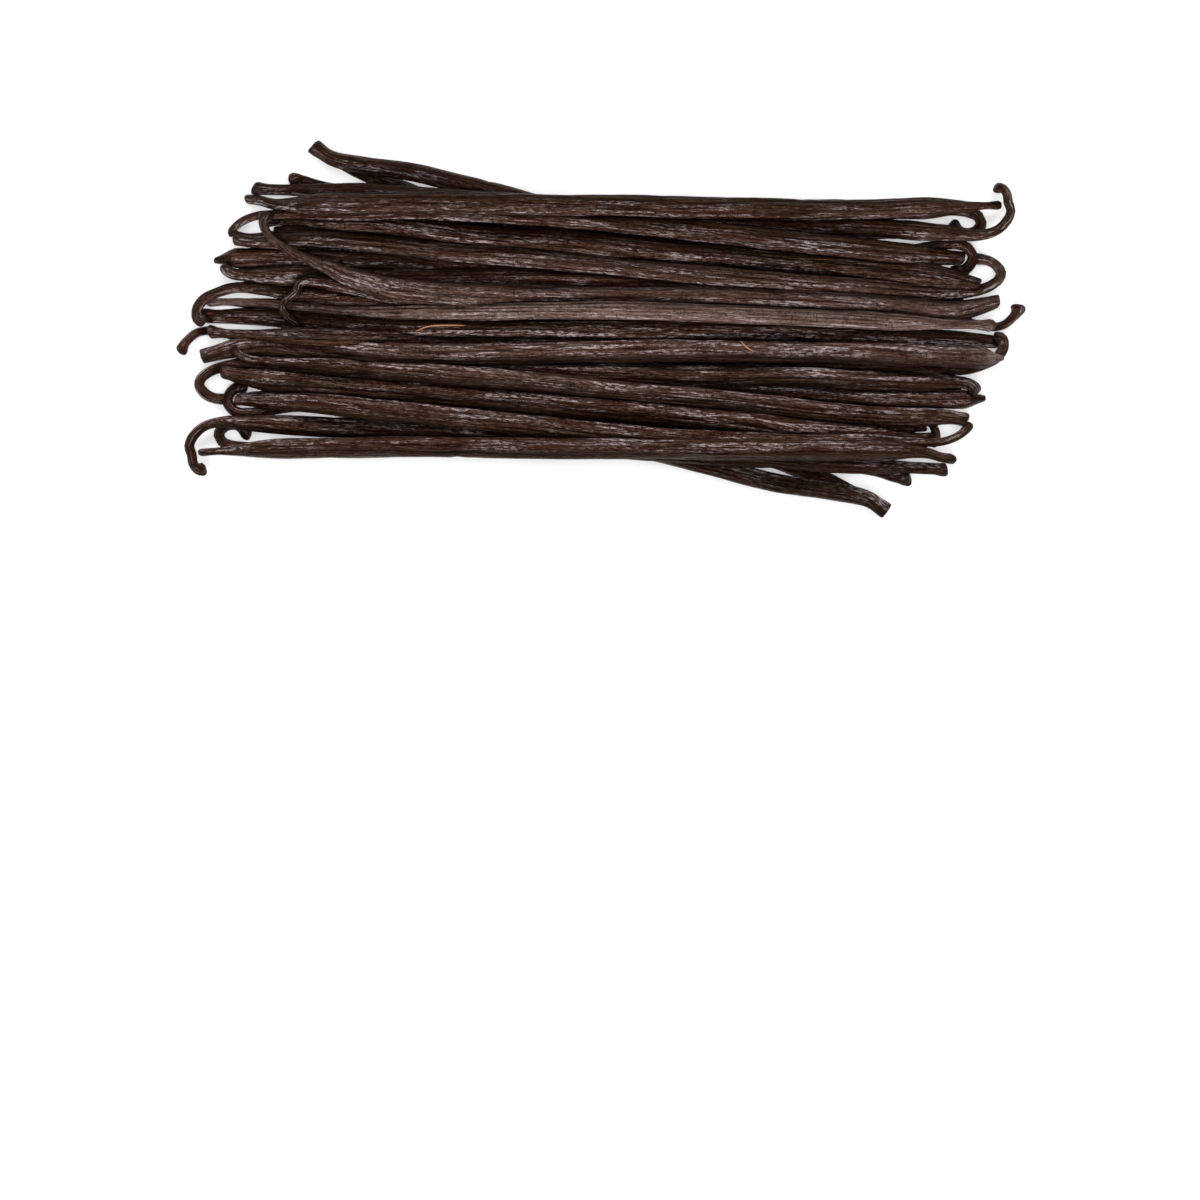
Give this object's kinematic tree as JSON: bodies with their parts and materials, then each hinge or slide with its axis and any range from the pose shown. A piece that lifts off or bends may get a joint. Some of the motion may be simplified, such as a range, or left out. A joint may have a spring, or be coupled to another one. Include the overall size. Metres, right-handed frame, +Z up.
{
  "type": "bundle of vanilla pods",
  "caption": "Low loose bundle of long, thin, dark cured vanilla pods laid side by side, with curled stem ends, lying flat for kitchen and shop scenes.",
  "frame": {"origin": "under the middle of the bundle, on the surface that it lies on", "axes": "+X along the pods, +Y across them, +Z up"},
  "size_m": [0.1878, 0.0838, 0.0143],
  "materials": {
    "cured_pod_skin": "dark brown, slightly oily, wrinkled lengthwise skin with a soft sheen"
  },
  "bodies": {
    "root": {"vanilla_pods": "cured_pod_skin"}
  },
  "joints": []
}
